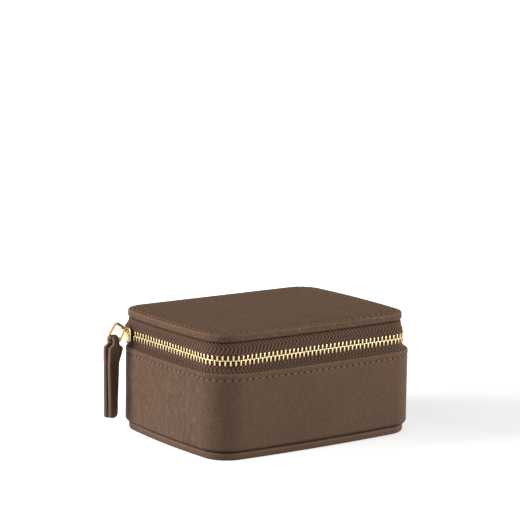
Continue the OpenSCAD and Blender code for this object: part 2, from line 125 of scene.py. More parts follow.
floor_finish, step = new_finish("white_sweep")
floor_nodes = floor_finish.node_tree.nodes
floor_nodes.remove(floor_nodes["Principled BSDF"])
paint = step("BsdfDiffuse", {"Color": (0.8, 0.8, 0.8, 1)})
# The camera sees the floor glow white, but the glow is dimmer near a spot right of the case: painted shade
# there, so the shadow shows darker
painted_shade_spot = (0.15, -0.03, 0.0)
away = step("VectorMath", {0: step("TexCoord", {}, "Object"), 1: painted_shade_spot}, "Value", operation="DISTANCE")
floor_glow_and_painted_shade = maths(step, "MULTIPLY", seen_white(step), ramp(step, away, 0.06, 0.3, 0.36))
shine = step("Emission", {"Color": (1, 1, 1, 1), "Strength": floor_glow_and_painted_shade})
wire_up(floor_finish, floor_nodes["Material Output"], {"Surface": step("AddShader", {0: paint, 1: shine})})
reach, below = 6, -0.2 * mm
sweep = bpy.data.meshes.new("white_sweep")
corners = [(-reach, -reach, below), (reach, -reach, below), (reach, reach, below), (-reach, reach, below)]
sweep.from_pydata(corners, [], [(0, 1, 2, 3)])
sweep.materials.append(floor_finish)
floor = bpy.data.objects.new("white_sweep", sweep)
put(floor)

soft_boxes = ("left_soft_box", (-1.25, 0.62, 0.44), 29), ("right_soft_box", (1.05, -0.95, 0.44), 21)
for name, place, watts in soft_boxes:
    lamp = bpy.data.lights.new(name, "AREA")
    lamp.shape, lamp.size, lamp.energy = "SQUARE", 0.8, watts
    box = bpy.data.objects.new(name, lamp)
    box.location = place
    box.rotation_euler = (Vector((0, 0, 0.03)) - Vector(place)).to_track_quat("-Z", "Y").to_euler()
    put(box)

# ---- Base panel ----
# A thin board wrapped in leather, glued under the case a little inside its walls, so that a
# dark gap runs round between the two. A painted highlight lightens the panel just below its top
# edge, and painted shade darkens its top, in the gap.
case_width, case_depth, case_corner, wall_bow = 130 * mm, 99 * mm, 17 * mm, 1.4 * mm
base_top, base_inset, base_skin = 4.4 * mm, 1.9 * mm, 1.2 * mm
leather_colour = (0.1145, 0.0668, 0.0425)


def rounded_outline(width, depth, back_r, front_r, bow, corner_steps=20, side_steps=60):
    """The case seen from above, anticlockwise from the back right corner. The back is straight and
    the other sides bow out. Each point is (x, y, way out in x, way out in y)."""
    radii = (back_r, back_r, front_r, front_r)
    centres = [(sx * (width / 2 - r), sy * (depth / 2 - r))
               for (sx, sy), r in zip(((1, 1), (-1, 1), (-1, -1), (1, -1)), radii)]
    points = []
    for k in range(4):
        for i in range(corner_steps + 1):
            out = Vector((cos(pi / 2 * (k + i / corner_steps)), sin(pi / 2 * (k + i / corner_steps))))
            points.append((*(Vector(centres[k]) + radii[k] * out), *out))
        after = (k + 1) % 4
        begin = Vector(centres[k]) + radii[k] * out
        end = Vector(centres[after]) + radii[after] * out
        for i in range(1, side_steps):
            t = i / side_steps
            swell = (0 if k == 0 else bow) * 4 * t * (1 - t)
            points.append((*(begin.lerp(end, t) + swell * out), *out))
    return points


def apart(a, b):
    return hypot(a[0] - b[0], a[1] - b[1])


def length_round(line):
    return sum(apart(a, b) for a, b in zip(line, line[1:] + line[:1]))


def evenly(line, count):
    """The same closed line with count points at even distances"""
    whole = length_round(line)
    even, reached, k = [], 0, 0
    a, b = line[0], line[1]
    for i in range(count):
        while reached + apart(a, b) < i * whole / count - 1e-9:
            reached += apart(a, b)
            k += 1
            a, b = line[k % len(line)], line[(k + 1) % len(line)]
        t = (i * whole / count - reached) / max(apart(a, b), 1e-9)
        x, y, out_x, out_y = (p + t * (q - p) for p, q in zip(a, b))
        size = hypot(out_x, out_y)
        even.append((x, y, out_x / size, out_y / size))
    return even


def inward(line, inset):
    return [(x - inset * out_x, y - inset * out_y, out_x, out_y) for x, y, out_x, out_y in line]


def courses(line, profile):
    """Rows of points round a line, one for each (inset, height) of a profile"""
    return [[(x, y, z) for x, y, _, _ in inward(line, inset)] for inset, z in profile]


def quarter(steps):
    """Angles of a quarter turn"""
    return [pi / 2 * i / steps for i in range(steps + 1)]


def parts_of(whole, count):
    return [i * whole / count for i in range(count + 1)]


def steps_of(points):
    """Running length along a list of points"""
    run = [0]
    for a, b in zip(points, points[1:]):
        run.append(run[-1] + (Vector(a) - Vector(b)).length)
    return run


def steps_round(points):
    """Running length round a closed list of points"""
    return steps_of(points + [points[0]])


def made(verts, faces, places=()):
    """A mesh with its faces turned outward. places are its UV map, in metres."""
    mesh = bpy.data.meshes.new("piece")
    mesh.from_pydata([tuple(v) for v in verts], [], faces)
    if places:
        mesh.uv_layers.new(name="cut").data.foreach_set("uv", [c for place in places for c in place])
    work = bmesh.new()
    work.from_mesh(mesh)
    bmesh.ops.recalc_face_normals(work, faces=work.faces)
    for face in work.faces:
        face.smooth = len(face.verts) < 40
    work.to_mesh(mesh)
    work.free()
    return mesh


def skin(rows, along, across, round_along=True, round_across=False, caps=()):
    """A mesh through rows of points, with along and across giving the places on its UV map"""
    n, m = len(rows[0]), len(rows)
    faces, places = [], []
    for j in range(m if round_across else m - 1):
        for i in range(n if round_along else n - 1):
            i2, j2 = (i + 1) % n, (j + 1) % m
            faces.append((j * n + i, j * n + i2, j2 * n + i2, j2 * n + i))
            places += [(along[i], across[j]), (along[i + 1], across[j]),
                       (along[i + 1], across[j + 1]), (along[i], across[j + 1])]
    for j in caps:
        faces.append(tuple(j % m * n + i for i in range(n)))
        places += [(p[0], p[1]) for p in rows[j]]
    return made([p for row in rows for p in row], faces, places)


def fitted(name, mesh, finish, slot, body, *stands_for):
    """Puts a mesh in its place as a piece of the case that rides on a body"""
    mesh.name = name
    mesh.materials.append(finish)
    piece = bpy.data.objects.new(name, mesh)
    put(piece)
    if body:
        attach(piece, body)
    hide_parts(*stands_for)
    return piece


def tint(colour, by):
    return tuple(min(c * by, 1) for c in colour[:3]) + (1,)


def mixed(step, share, first, second):
    return step("MixRGB", {"Fac": share, "Color1": first, "Color2": second})


def scaled(step, colour, by):
    return step("VectorMath", {0: colour, "Scale": by}, operation="SCALE")


def grain(step, place, scale, detail, rough=0.5, twisted=0.0):
    """Noise of a scale to the metre, one for all ways or three for x, y and z"""
    if isinstance(scale, tuple):
        place, scale = step("Mapping", {"Vector": place, "Scale": scale}), 1
    return step("TexNoise", {"Vector": place, "Scale": scale, "Detail": detail, "Roughness": rough,
                             "Distortion": twisted})


def cut_place(step):
    """How far along and across the piece a point lies, as it was cut"""
    cut = step("UVMap", {}, uv_map="cut")
    return step("SeparateXYZ", {0: cut}, "X"), step("SeparateXYZ", {0: cut}, "Y")


def bump(step, height, strength, distance):
    return step("Bump", {"Height": height, "Strength": strength, "Distance": distance})


def coated(finish, sources):
    wire_up(finish, finish.node_tree.nodes["Principled BSDF"], sources)
    return finish


def leather_finish(name, colour, pebble=0.8 * mm, streaks=0.0, seam=None, painted_highlight_and_shade=(), shine=0.08, painted_glint_strength=0.22,
                   edge=None):
    """Pigmented leather: small flat pebbles between fine creases, pores, soft cloudy patches, and
    upright creases where it is stretched round the wall. The creases between the pebbles are painted
    darker, as painted shade, and small light specks are painted highlights on the pebbles, as light as
    painted_glint_strength sets. seam is (pitch, place across the cut) of needle holes, which are
    painted dark as painted shade. painted_highlight_and_shade lists (height, width, tone) of bands:
    painted highlights along edges, and painted shade in dark gaps. edge is a painted light tone for
    faces that stand upright, painted lighter than the top for how light falls on them."""
    finish, step = new_finish(name)
    place = step("TexCoord", {}, "Object")
    normal = step("TexCoord", {}, "Normal")
    bend = step("TexNoise", {"Vector": place, "Scale": 420, "Detail": 2}, "Color")
    warped = step("VectorMath", {0: bend, 1: (0.9 * mm,) * 3, 2: place}, operation="MULTIPLY_ADD")
    pebbles = step("TexVoronoi", {"Vector": warped, "Scale": 1 / pebble}, feature="DISTANCE_TO_EDGE")
    crease = ramp(step, pebbles, 0.0, 0.2)
    pores = grain(step, place, 2400, 3, 0.6)
    clouds = grain(step, place, 38, 4, 0.6)
    mottle = grain(step, place, (760, 760, 760 - 330 * streaks), 3, 0.6)
    streak = grain(step, place, (400, 400, 270), 3, 0.55, 0.7)
    base = mixed(step, ramp(step, clouds, 0.3, 0.7), tint(colour, 0.95), tint(colour, 1.06))
    sideways = maths(step, "ABSOLUTE", step("SeparateXYZ", {0: normal}, "X"))
    side = ramp(step, sideways, 0.6, 1.0, 0.12 * streaks, 2.4 * streaks)
    drawn = maths(step, "MULTIPLY", maths(step, "SUBTRACT", streak, 0.5), side)
    base = scaled(step, base, maths(step, "MULTIPLY_ADD", drawn, 0.42, 1.0))
    base = scaled(step, base, ramp(step, mottle, 0.34, 0.66, 0.95, 1.05))
    base = scaled(step, base, ramp(step, pores, 0.34, 0.66, 0.96, 1.04))
    # Painted highlights: small light specks stand in for glints on the pebbles
    painted_glints = grain(step, place, 900, 2, 0.4)
    base = scaled(step, base, ramp(step, painted_glints, 0.62, 0.72, 1.0, 1 + painted_glint_strength))
    # Painted shade: the creases between the pebbles are painted darker
    base = scaled(step, base, ramp(step, crease, 0, 1, 0.8, 1.02))
    # Painted light: faces that stand upright are tinted by edge, lighter than the top, for how light falls on
    # them
    if edge:
        facing_up = ramp(step, step("SeparateXYZ", {0: normal}, "Z"), 0.5, 0.85)
        painted_side_light = mixed(step, facing_up, (*edge, 1), (1, 1, 1, 1))
        base = step("VectorMath", {0: base, 1: painted_side_light}, operation="MULTIPLY")
    height = step("SeparateXYZ", {0: place}, "Z")
    # Painted light: bands at given heights are painted lighter as painted highlights, or darker as painted
    # shade
    for at, width, tone in painted_highlight_and_shade:
        off = maths(step, "ABSOLUTE", maths(step, "SUBTRACT", height, at))
        base = scaled(step, base, ramp(step, off, 0.3 * width, width, tone))
    if seam:
        pitch, row = seam
        along, across = cut_place(step)
        spaced = maths(step, "PINGPONG", along, pitch / 2)
        near = step("CombineXYZ", {0: spaced, 1: maths(step, "SUBTRACT", across, row)})
        gone = step("VectorMath", {0: near}, "Value", operation="LENGTH")
        # Painted shade: the needle holes are painted dark
        base = scaled(step, base, ramp(step, gone, 0.35 * mm, 0.8 * mm, 0.4))
    relief = maths(step, "MULTIPLY_ADD", crease, 0.7, pores)
    relief = maths(step, "MULTIPLY_ADD", mottle, 1.6, relief)
    relief = maths(step, "MULTIPLY_ADD", streak, side, relief)
    return coated(finish, {"Base Color": base, "Roughness": ramp(step, pores, 0.3, 0.7, 0.46, 0.6),
                           "Normal": bump(step, relief, 0.75, 0.19 * mm), "Specular IOR Level": shine})


body_line = rounded_outline(case_width, case_depth, case_corner, case_corner, wall_bow)
base_line = evenly(inward(body_line, base_inset), 420)
base_edge, base_top_edge = 1.5 * mm, 0.5 * mm
base_profile = [(12 * mm, 0), (8 * mm, 0), (5 * mm, 0), (3 * mm, 0)]
base_profile += [(base_edge * (1 - sin(a)), base_edge * (1 - cos(a))) for a in quarter(6)]
base_profile += [(0, 2.3 * mm), (0, 3.0 * mm)]
base_profile += [(base_top_edge * (1 - cos(a)), base_top - base_top_edge * (1 - sin(a))) for a in quarter(5)]
base_profile += [(base_skin, base_top), (base_skin, base_skin)]
base_rows = courses(base_line, base_profile)
base_mesh = skin(base_rows, parts_of(length_round(base_line), len(base_line)),
                 steps_of([row[0] for row in base_rows]), caps=(0, -1))
# Painted light: a painted highlight below the panel's top edge, and painted shade on its top, in the gap
case_leather = leather_finish("case_leather", leather_colour, painted_highlight_and_shade=(
    (base_top - 1.1 * mm, 0.7 * mm, 1.35), (base_top + 0.1 * mm, 0.7 * mm, 0.35)))
fitted("base_wrap", base_mesh, case_leather, "case_leather", "case_body", "base_leather")

# ---- Boards ----
# Grey pressed board inside the base, the walls and the lid. Only an edge of it ever shows.
board_finish, step = new_finish("greyboard")
pulp = grain(step, step("TexCoord", {}, "Object"), 900, 5, 0.7)
fibres = mixed(step, pulp, (0.20, 0.16, 0.12, 1), (0.42, 0.36, 0.28, 1))
coated(board_finish, {"Base Color": fibres, "Normal": bump(step, pulp, 0.5, 0.2 * mm), "Roughness": 0.9})
for node in ("base_board", "body_board", "lid_board"):
    for place_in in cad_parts[node].material_slots:
        place_in.material = board_finish

# ---- Leather wall ----
# One band of leather glued round the board, folded over the rim at the top and under the floor
# at the bottom. It bows out a little, and the seam below the rim pulls it into a shallow groove.
rim_z, floor_z, leather_t, bottom_r, turned_in = 45.1 * mm, 4.45 * mm, 1.4 * mm, 2.2 * mm, 12 * mm
rim_r, seam_z = 0.84 * mm, rim_z - 3.3 * mm
wall_length = length_round(body_line)
stitch_pitch, columns = 3.9 * mm, 6
seam_count = int(wall_length / stitch_pitch)
seam_pitch = wall_length / seam_count
wall_line = evenly(body_line, seam_count * columns)
wall_run = parts_of(wall_length, len(wall_line))


def hump(at, centre, width):
    return exp(-((at - centre) / width) ** 2)


def near_hole(run, pitch):
    """1 at a needle hole and 0 half a millimetre from it. The holes lie between the stitches."""
    off = run / pitch - round(run / pitch)
    return max(0.0, 1 - abs(off) * pitch / (0.6 * mm))


def wall_swell(x, y, z, out_x, run):
    """How far the leather stands out from an even wall"""
    fade = min(1, max(0, (z - floor_z) / (4 * mm))) * min(1, max(0, (rim_z - z) / (2 * mm)))
    side = abs(out_x)
    soft = noise.noise(Vector((x, y, z * 0.8)) / (17 * mm)) * 0.16
    pulls = noise.noise(Vector((run / (2.6 * mm), z / (17 * mm), 3.3))) * (0.012 + 0.03 * side)
    pulls += noise.noise(Vector((run / (6.5 * mm), z / (28 * mm), 8.1))) * (0.03 + 0.05 * side)
    seam = -0.24 * hump(z, seam_z, 0.65 * mm) - 0.34 * hump(z, seam_z, 0.4 * mm) * near_hole(run, seam_pitch)
    roll_over = 0.10 * hump(z, rim_z - 1.7 * mm, 0.9 * mm)
    return (fade * (soft + pulls) + seam + roll_over) * mm


below_seam = seam_z - 1.5 * mm - floor_z - bottom_r
wall_profile = [(inset, floor_z) for inset in (turned_in, 8 * mm, 5 * mm)]
wall_profile += [(bottom_r * (1 - sin(a)), floor_z + bottom_r * (1 - cos(a))) for a in quarter(9)]
wall_profile += [(0, floor_z + bottom_r + below_seam * i / 30) for i in range(1, 31)]
wall_profile += [(0, seam_z + d * mm)
                 for d in (-1.1, -0.8, -0.55, -0.35, -0.18, 0.0, 0.18, 0.35, 0.55, 0.8, 1.1, 1.5, 1.9)]
wall_profile += [(rim_r * (1 - cos(a)), rim_z - rim_r * (1 - sin(a))) for a in quarter(6)]
wall_profile += [(leather_t - 0.15 * mm, rim_z), (leather_t, rim_z - 0.15 * mm), (leather_t, 40 * mm),
                 (leather_t, 20 * mm), (leather_t, floor_z + leather_t), (turned_in, floor_z + leather_t)]
wall_rows = []
for inset, z in wall_profile:
    outer = inset < rim_r and z < rim_z - 0.1 * mm
    row = []
    for (x, y, out_x, out_y), run in zip(wall_line, wall_run):
        deep = inset - (wall_swell(x, y, z, out_x, run) if outer else 0)
        row.append((x - deep * out_x, y - deep * out_y, z))
    wall_rows.append(row)
wall_across = steps_round(wall_profile)
# Painted light: a painted highlight along the rim, and painted shade in the dark gap above the base
wall_leather = leather_finish("wall_leather", leather_colour, streaks=1.0,
                              painted_highlight_and_shade=((rim_z, 1.1 * mm, 1.35), (floor_z, 1.9 * mm, 0.24)),
                              seam=(seam_pitch, wall_across[wall_profile.index((0, seam_z))]))
fitted("leather_wall", skin(wall_rows, wall_run, wall_across, round_across=True), wall_leather,
       "case_leather", "case_body", "body_leather")


def point_on(line, run, pitch):
    """Place on an even line, pitch apart, at a running distance"""
    k = int(run // pitch) % len(line)
    t = run / pitch - run // pitch
    return [p + t * (q - p) for p, q in zip(line[k], line[(k + 1) % len(line)])]


def stitch_row(line, count, length, thick, height, swell=None):
    """A row of stitches along a closed line. Each is a short arched piece of thread whose ends go
    down into the leather. It lies on a wall that swells, or else on a flat top."""
    whole = length_round(line)
    rows, sides, sunk = 8, 8, 0.3 * mm
    verts, faces, places = [], [], []
    for i in range(count):
        start = len(verts)
        for j in range(rows + 1):
            t = abs(2 * j / rows - 1)
            run = ((i + 0.5) * whole / count + (j / rows - 0.5) * length) % whole
            x, y, out_x, out_y = point_on(line, run, whole / len(line))
            rise = 0.32 * mm * (1 - t ** 4) - 0.42 * mm * t ** 6
            if swell:
                rise += swell(x, y, height, out_x, run) * (1 - t ** 4)
            wide = thick / 2 * (1 - 0.35 * t ** 3)
            for k in range(sides):
                across = wide * cos(2 * pi * k / sides)
                up = rise + 0.8 * wide * sin(2 * pi * k / sides) - sunk
                out, z = (up, height + across) if swell else (across, height + up)
                verts.append((x + out * out_x, y + out * out_y, z))
        for j in range(rows):
            for k in range(sides):
                a, b = start + j * sides + k, start + j * sides + (k + 1) % sides
                faces.append((a, b, b + sides, a + sides))
                u0, u1 = length * j / rows, length * (j + 1) / rows
                v0, v1 = k * thick * pi / sides, (k + 1) * thick * pi / sides
                places += [(u0, v0), (u0, v1), (u1, v1), (u1, v0)]
        for j in (0, rows):
            faces.append(tuple(start + j * sides + k for k in range(sides)))
            places += [(0, 0)] * sides
    return made(verts, faces, places)


# The thread is twisted, with slanting plies along its length.
thread, step = new_finish("seam_thread")
thread_colour, turns_along, turns_across = (0.225, 0.145, 0.098), 9000, 7000
along, across = cut_place(step)
slant = maths(step, "MULTIPLY_ADD", across, turns_across, maths(step, "MULTIPLY", along, turns_along))
ply = ramp(step, maths(step, "SINE", slant), -1, 1)
plies = mixed(step, ply, tint(thread_colour, 0.6), tint(thread_colour, 1.15))
coated(thread, {"Base Color": plies, "Normal": bump(step, ply, 0.6, 0.1 * mm), "Roughness": 0.7,
                "Specular IOR Level": 0.12})
wall_stitches = stitch_row(wall_line, seam_count, length=2.6 * mm, thick=0.62 * mm, height=seam_z,
                           swell=wall_swell)
fitted("wall_stitches", wall_stitches, thread, "thread", "case_body", "body_stitching")

# ---- Lining ----
# Sand microsuede glued to the board, with a soft fold along its top edge and round the floor.
suede_colour = (0.42, 0.33, 0.245)
lining_floor, cavity_floor, lining_top = 8.15 * mm, 8.95 * mm, 44.1 * mm
lining_outer, cavity_inset = 3.7 * mm, 4.5 * mm


def suede_finish(name, colour):
    """Microsuede: a short brushed nap with soft marks where it has been stroked"""
    finish, step = new_finish(name)
    place = step("TexCoord", {}, "Object")
    nap = grain(step, place, 3200, 3, 0.7)
    stroked = ramp(step, grain(step, place, 70, 4, 0.6, 0.8), 0.35, 0.65)
    base = mixed(step, stroked, tint(colour, 0.9), tint(colour, 1.07))
    base = scaled(step, base, ramp(step, nap, 0.3, 0.7, 0.84, 1.12))
    return coated(finish, {"Base Color": base, "Normal": bump(step, nap, 0.5, 0.2 * mm), "Roughness": 0.95,
                           "Specular IOR Level": 0.2, "Sheen Weight": 0.25, "Sheen Roughness": 0.4})


suede = suede_finish("sand_suede", suede_colour)
lining_line = evenly(body_line, 360)
fold = (cavity_inset - lining_outer) / 2
fold_z = lining_top - fold
lining_profile = [(lining_outer, lining_floor), (lining_outer, 20 * mm), (lining_outer, fold_z)]
lining_profile += [(lining_outer + fold * (1 - cos(pi * i / 8)), fold_z + fold * sin(pi * i / 8))
                   for i in range(1, 8)]
lining_profile += [(cavity_inset, fold_z - (fold_z - cavity_floor - 0.6 * mm) * i / 10) for i in range(11)]
lining_profile += [(cavity_inset + inset * mm, cavity_floor + z * mm)
                   for inset, z in ((0.2, 0.2), (0.6, 0), (6, 0), (11, 0))]
lining_mesh = skin(courses(lining_line, lining_profile), parts_of(length_round(lining_line), 360),
                   steps_of(lining_profile), caps=(0, -1))
fitted("suede_lining", lining_mesh, suede, "suede", "case_body", "body_lining")

# ---- Dividers ----
# Foam-cored walls covered in suede. The cover is pulled over the top edge, so it is round there.
cavity_width, cavity_depth, gap = 121 * mm, 90 * mm, 0.3 * mm
divider_top, divider_t, divider_x = 38.1 * mm, 3 * mm, -18.4 * mm


def padded_bar(length, thick, height, swell, end_r, cell=1.1 * mm):
    """A padded bar along x, standing on z = 0: flat underneath, round on top, and slightly
    hollow near its ends where the cover is tucked round the foam"""
    half, foot = thick / 2, 0.3 * mm
    upright = height - half
    climb = [foot + (upright - foot) * i / 12 for i in range(13)]
    ring = [(foot - half, 0)] + [(-half, z) for z in climb]
    ring += [(-half * cos(pi * i / 14), upright + half * sin(pi * i / 14)) for i in range(1, 14)]
    ring += [(half, z) for z in reversed(climb)] + [(half - foot, 0)]
    steps = max(int(length / cell), 8)
    ends = [end_r * (1 - cos(pi / 2 * i / 5)) for i in range(5)]
    stations = ends + [end_r + (length - 2 * end_r) * i / steps for i in range(steps + 1)]
    stations += [length - end for end in reversed(ends)]
    own_noise = Vector((length, thick, height)) * 100
    rows = []
    for x in stations:
        near = min(x, length - x)
        shrink = end_r - sqrt(max(end_r ** 2 - max(end_r - near, 0) ** 2, 0))
        along = sin(pi * min(1, max(0, x / length))) ** 0.5
        row = []
        for y, z in ring:
            pull = 1 - shrink / half * min(1, abs(y) / half + 0.001)
            up = min(z / height, 1)
            puff = swell * along * sin(pi * min(up * 0.9, 1)) ** 0.7
            puff += 0.18 * mm * noise.noise(Vector((x, y * 2, z)) / (7 * mm) + own_noise)
            side = y / half if abs(y) > half * 0.2 else 0
            row.append((x, y * pull + (puff / 2 - 0.25 * mm) * side, z - (shrink * 0.6 + 0.15 * mm) * up))
        rows.append(row)
    return skin(rows, steps_round(ring), stations, caps=(0, -1))


cross_from = divider_x + divider_t / 2 + gap
for name, node, length, x, y, turn in (
        ("long_divider", "divider_long", cavity_depth - 2 * gap, divider_x, -cavity_depth / 2 + gap, pi / 2),
        ("cross_divider", "divider_cross", cavity_width / 2 - gap - cross_from, cross_from, 0, 0)):
    divider = padded_bar(length, divider_t, divider_top - cavity_floor, swell=0.2 * mm, end_r=0.5 * mm)
    divider.transform(Matrix.Translation((x, y, cavity_floor)) @ Matrix.Rotation(turn, 4, "Z"))
    fitted(name, divider, suede, "suede", "case_body", node)

# ---- Ring rolls ----
# Six foam bars wrapped in suede, side by side. Rings are pushed down between two of them. The
# first and last follow the lining round its corner.
roll_length, roll_height, roll_gap, roll_count = 40 * mm, 24 * mm, 0.6 * mm, 6
roll_t = (cavity_depth - 1 * mm - roll_gap * (roll_count - 1)) / roll_count
roll_suede = suede_finish("roll_suede", tint(suede_colour, 1.06))
corner_r, roll_end = case_corner - cavity_inset - gap, gap - cavity_width / 2
for i in range(roll_count):
    roll_mesh = padded_bar(roll_length, roll_t, roll_height, swell=0.25 * mm, end_r=1.6 * mm)
    roll_y = (i - (roll_count - 1) / 2) * (roll_t + roll_gap)
    for point in roll_mesh.vertices:
        point.co.x += roll_end
        point.co.y += roll_y
        point.co.z += cavity_floor
        over_x = corner_r + roll_end - point.co.x
        over_y = abs(point.co.y) - (cavity_depth / 2 - gap - corner_r)
        if over_x > 0 and over_y > 0 and hypot(over_x, over_y) > corner_r:
            back = corner_r / hypot(over_x, over_y) - 1
            point.co.x -= over_x * back
            point.co.y += (1 if point.co.y > 0 else -1) * over_y * back
    name = f"roll_{i + 1}"
    fitted(name, roll_mesh, roll_suede, "roll_suede", "case_body", "ring_" + name)

# ---- Zip tapes ----
# Two strips of brown herringbone twill. The lower one is tucked in behind the rim, and the upper
# one leans out from the teeth and swells a little below the lid, where it is sewn in.
chain_z, lid_z = 51.4 * mm, 60.3 * mm
tape_t, tape_edge, tape_tuck, tape_straight = 0.6 * mm, 0.4 * mm, 8 * mm, 3.85 * mm
zip_width, zip_depth, zip_back_r, zip_front_r = 123.6 * mm, 92.6 * mm, 5 * mm, 14 * mm
hinge_width = 91 * mm
lid_inset, lid_setback, lid_corner = 2.6 * mm, 2.1 * mm, 13.5 * mm
zip_line = rounded_outline(zip_width, zip_depth, zip_back_r, zip_front_r, 0)
lid_line = [(x, y + lid_setback, out_x, out_y) for x, y, out_x, out_y in rounded_outline(
    case_width - 2 * lid_inset, case_depth - 2 * lid_inset, lid_corner, lid_corner, wall_bow)]

# The ribs of the twill slant, and turn back every few millimetres of its width.
twill, step = new_finish("brown_twill")
twill_colour = (0.082, 0.047, 0.030)
rib_pitch, rib_turn, yarn_pitch = 2.2 * mm, 3.6 * mm, 0.48 * mm
along, across = cut_place(step)
slant = maths(step, "ADD", maths(step, "PINGPONG", across, rib_turn), along)
rib = ramp(step, maths(step, "SINE", maths(step, "MULTIPLY", slant, 2 * pi / rib_pitch)), -0.6, 0.6)
yarns = maths(step, "SINE", maths(step, "MULTIPLY", across, 2 * pi / yarn_pitch))
weave = maths(step, "MULTIPLY_ADD", yarns, 0.12, rib)
weave = maths(step, "MULTIPLY_ADD", grain(step, step("TexCoord", {}, "Object"), 2200, 3), 0.5, weave)
woven = mixed(step, ramp(step, weave, 0.1, 1.35), tint(twill_colour, 0.46), tint(twill_colour, 1.66))
coated(twill, {"Base Color": woven, "Normal": bump(step, weave, 0.8, 0.4 * mm), "Roughness": 0.85,
               "Specular IOR Level": 0.15})


def between(line, other, t):
    return [tuple(p + t * (q - p) for p, q in zip(a, b)) for a, b in zip(line, other)]


def tape_mesh(rises):
    """A closed band of tape through (height, line) rises, cut away where the hinge leather is"""
    sides = [(1, rise) for rise in rises] + [(-1, rise) for rise in reversed(rises)]
    rows = [[(x + side * tape_t / 2 * out_x, y + side * tape_t / 2 * out_y, z) for x, y, out_x, out_y in line]
            for side, (z, line) in sides]
    heights = [z for _, (z, _) in sides]
    run = steps_round([place[:2] for place in zip_line])
    mesh = skin(rows, run, heights + [heights[0]], round_across=True)
    work = bmesh.new()
    work.from_mesh(mesh)
    for side in (-1, 1):
        everything = work.verts[:] + work.edges[:] + work.faces[:]
        end = (side * (hinge_width / 2 + 0.5 * mm), 0, 0)
        bmesh.ops.bisect_plane(work, geom=everything, plane_co=end, plane_no=(1, 0, 0))
    middles = [(face, face.calc_center_median()) for face in work.faces]
    behind = [face for face, middle in middles if abs(middle.x) < hinge_width / 2 and middle.y > 0]
    bmesh.ops.delete(work, geom=behind, context="FACES")
    bmesh.ops.holes_fill(work, edges=[e for e in work.edges if e.is_boundary], sides=0)
    bmesh.ops.recalc_face_normals(work, faces=work.faces)
    work.to_mesh(mesh)
    work.free()
    return mesh


tucked = inward(body_line, 1.45 * mm + tape_t / 2)
low_z, high_z = chain_z - tape_straight, chain_z + tape_straight
low_edge, high_edge = chain_z - tape_edge, chain_z + tape_edge
lower_rises = [(rim_z - tape_tuck + tape_tuck * i / 4, tucked) for i in range(5)]
lower_rises += [(rim_z + (low_z - rim_z) * t, between(tucked, zip_line, (3 - 2 * t) * t ** 2))
                for t in parts_of(1, 6)[1:]]
lower_rises += [(low_z + (low_edge - low_z) * i / 4, zip_line) for i in range(1, 5)]
fitted("lower_tape", tape_mesh(lower_rises), twill, "zip_tape", "case_body", "lower_zip_tape")
bulge, seam_line = inward(lid_line, 0.45 * mm + tape_t / 2), inward(lid_line, 1.9 * mm + tape_t / 2)
upper_rises = [(high_edge + (high_z - high_edge) * i / 4, zip_line) for i in range(5)]
upper_h = lid_z - 0.05 * mm - high_z
for t, share in ((0.13, 0.2), (0.27, 0.47), (0.4, 0.7), (0.55, 0.88), (0.7, 0.98), (0.82, 1.0)):
    upper_rises.append((high_z + upper_h * t, between(zip_line, bulge, share)))
upper_rises += [(high_z + upper_h * 0.92, between(bulge, seam_line, 0.4)), (high_z + upper_h, seam_line)]
fitted("upper_tape", tape_mesh(upper_rises), twill, "zip_tape", "lid", "upper_zip_tape")

# ---- Zip teeth ----
# Pale brass clamps pressed on the edges of the tapes, 2.6 mm apart. The two rows hook into each
# other, so that their heads meet in one bright line.
tooth_pitch, tooth_t, tooth_root, tooth_head = 2.6 * mm, 1.9 * mm, 2.55 * mm, 0.4 * mm
teeth_start, slider_length = 7.1 * mm, 8 * mm
teeth_y = zip_depth / 2 - zip_back_r - teeth_start
side_run = teeth_y + zip_depth / 2 - zip_front_r
corner_run, front_run = zip_front_r * pi / 2, zip_width - 2 * zip_front_r
chain_run = 2 * side_run + 2 * corner_run + front_run + teeth_start + zip_back_r * pi / 2
teeth_side, teeth_all = int(side_run // tooth_pitch), int(chain_run // tooth_pitch) - 1


def brass_finish(name, colour, rough):
    """Bright plated brass, a little cloudy, with fine rub marks"""
    finish, step = new_finish(name)
    place = step("TexCoord", {}, "Object")
    haze = grain(step, place, 600, 3)
    rubs = grain(step, place, (900, 5200, 5200), 2)
    return coated(finish, {"Base Color": mixed(step, haze, tint(colour, 0.88), tint(colour, 1.08)),
                           "Roughness": ramp(step, haze, 0.3, 0.7, rough - 0.06, rough + 0.08),
                           "Normal": bump(step, rubs, 0.12, 0.05 * mm), "Metallic": 1.0})


def on_corner(side, end, r, a):
    return side * (zip_width / 2 - r) + r * cos(a), end * (zip_depth / 2 - r) + r * sin(a), a


def on_chain(s):
    """Place on the chain at distance s from the slider: x, y and the way that it faces"""
    if s < side_run:
        return -zip_width / 2, teeth_y - s, pi
    s -= side_run
    if s < corner_run:
        return on_corner(-1, -1, zip_front_r, pi + s / zip_front_r)
    s -= corner_run
    if s < front_run:
        return -zip_width / 2 + zip_front_r + s, -zip_depth / 2, 1.5 * pi
    s -= front_run
    if s < corner_run:
        return on_corner(1, -1, zip_front_r, 1.5 * pi + s / zip_front_r)
    s -= corner_run
    if s < side_run + teeth_start:
        return zip_width / 2, -zip_depth / 2 + zip_front_r + s, 0
    s -= side_run + teeth_start
    if s < zip_back_r * pi / 2:
        return on_corner(1, 1, zip_back_r, s / zip_back_r)
    return zip_width / 2 - zip_back_r - s + zip_back_r * pi / 2, zip_depth / 2, pi / 2


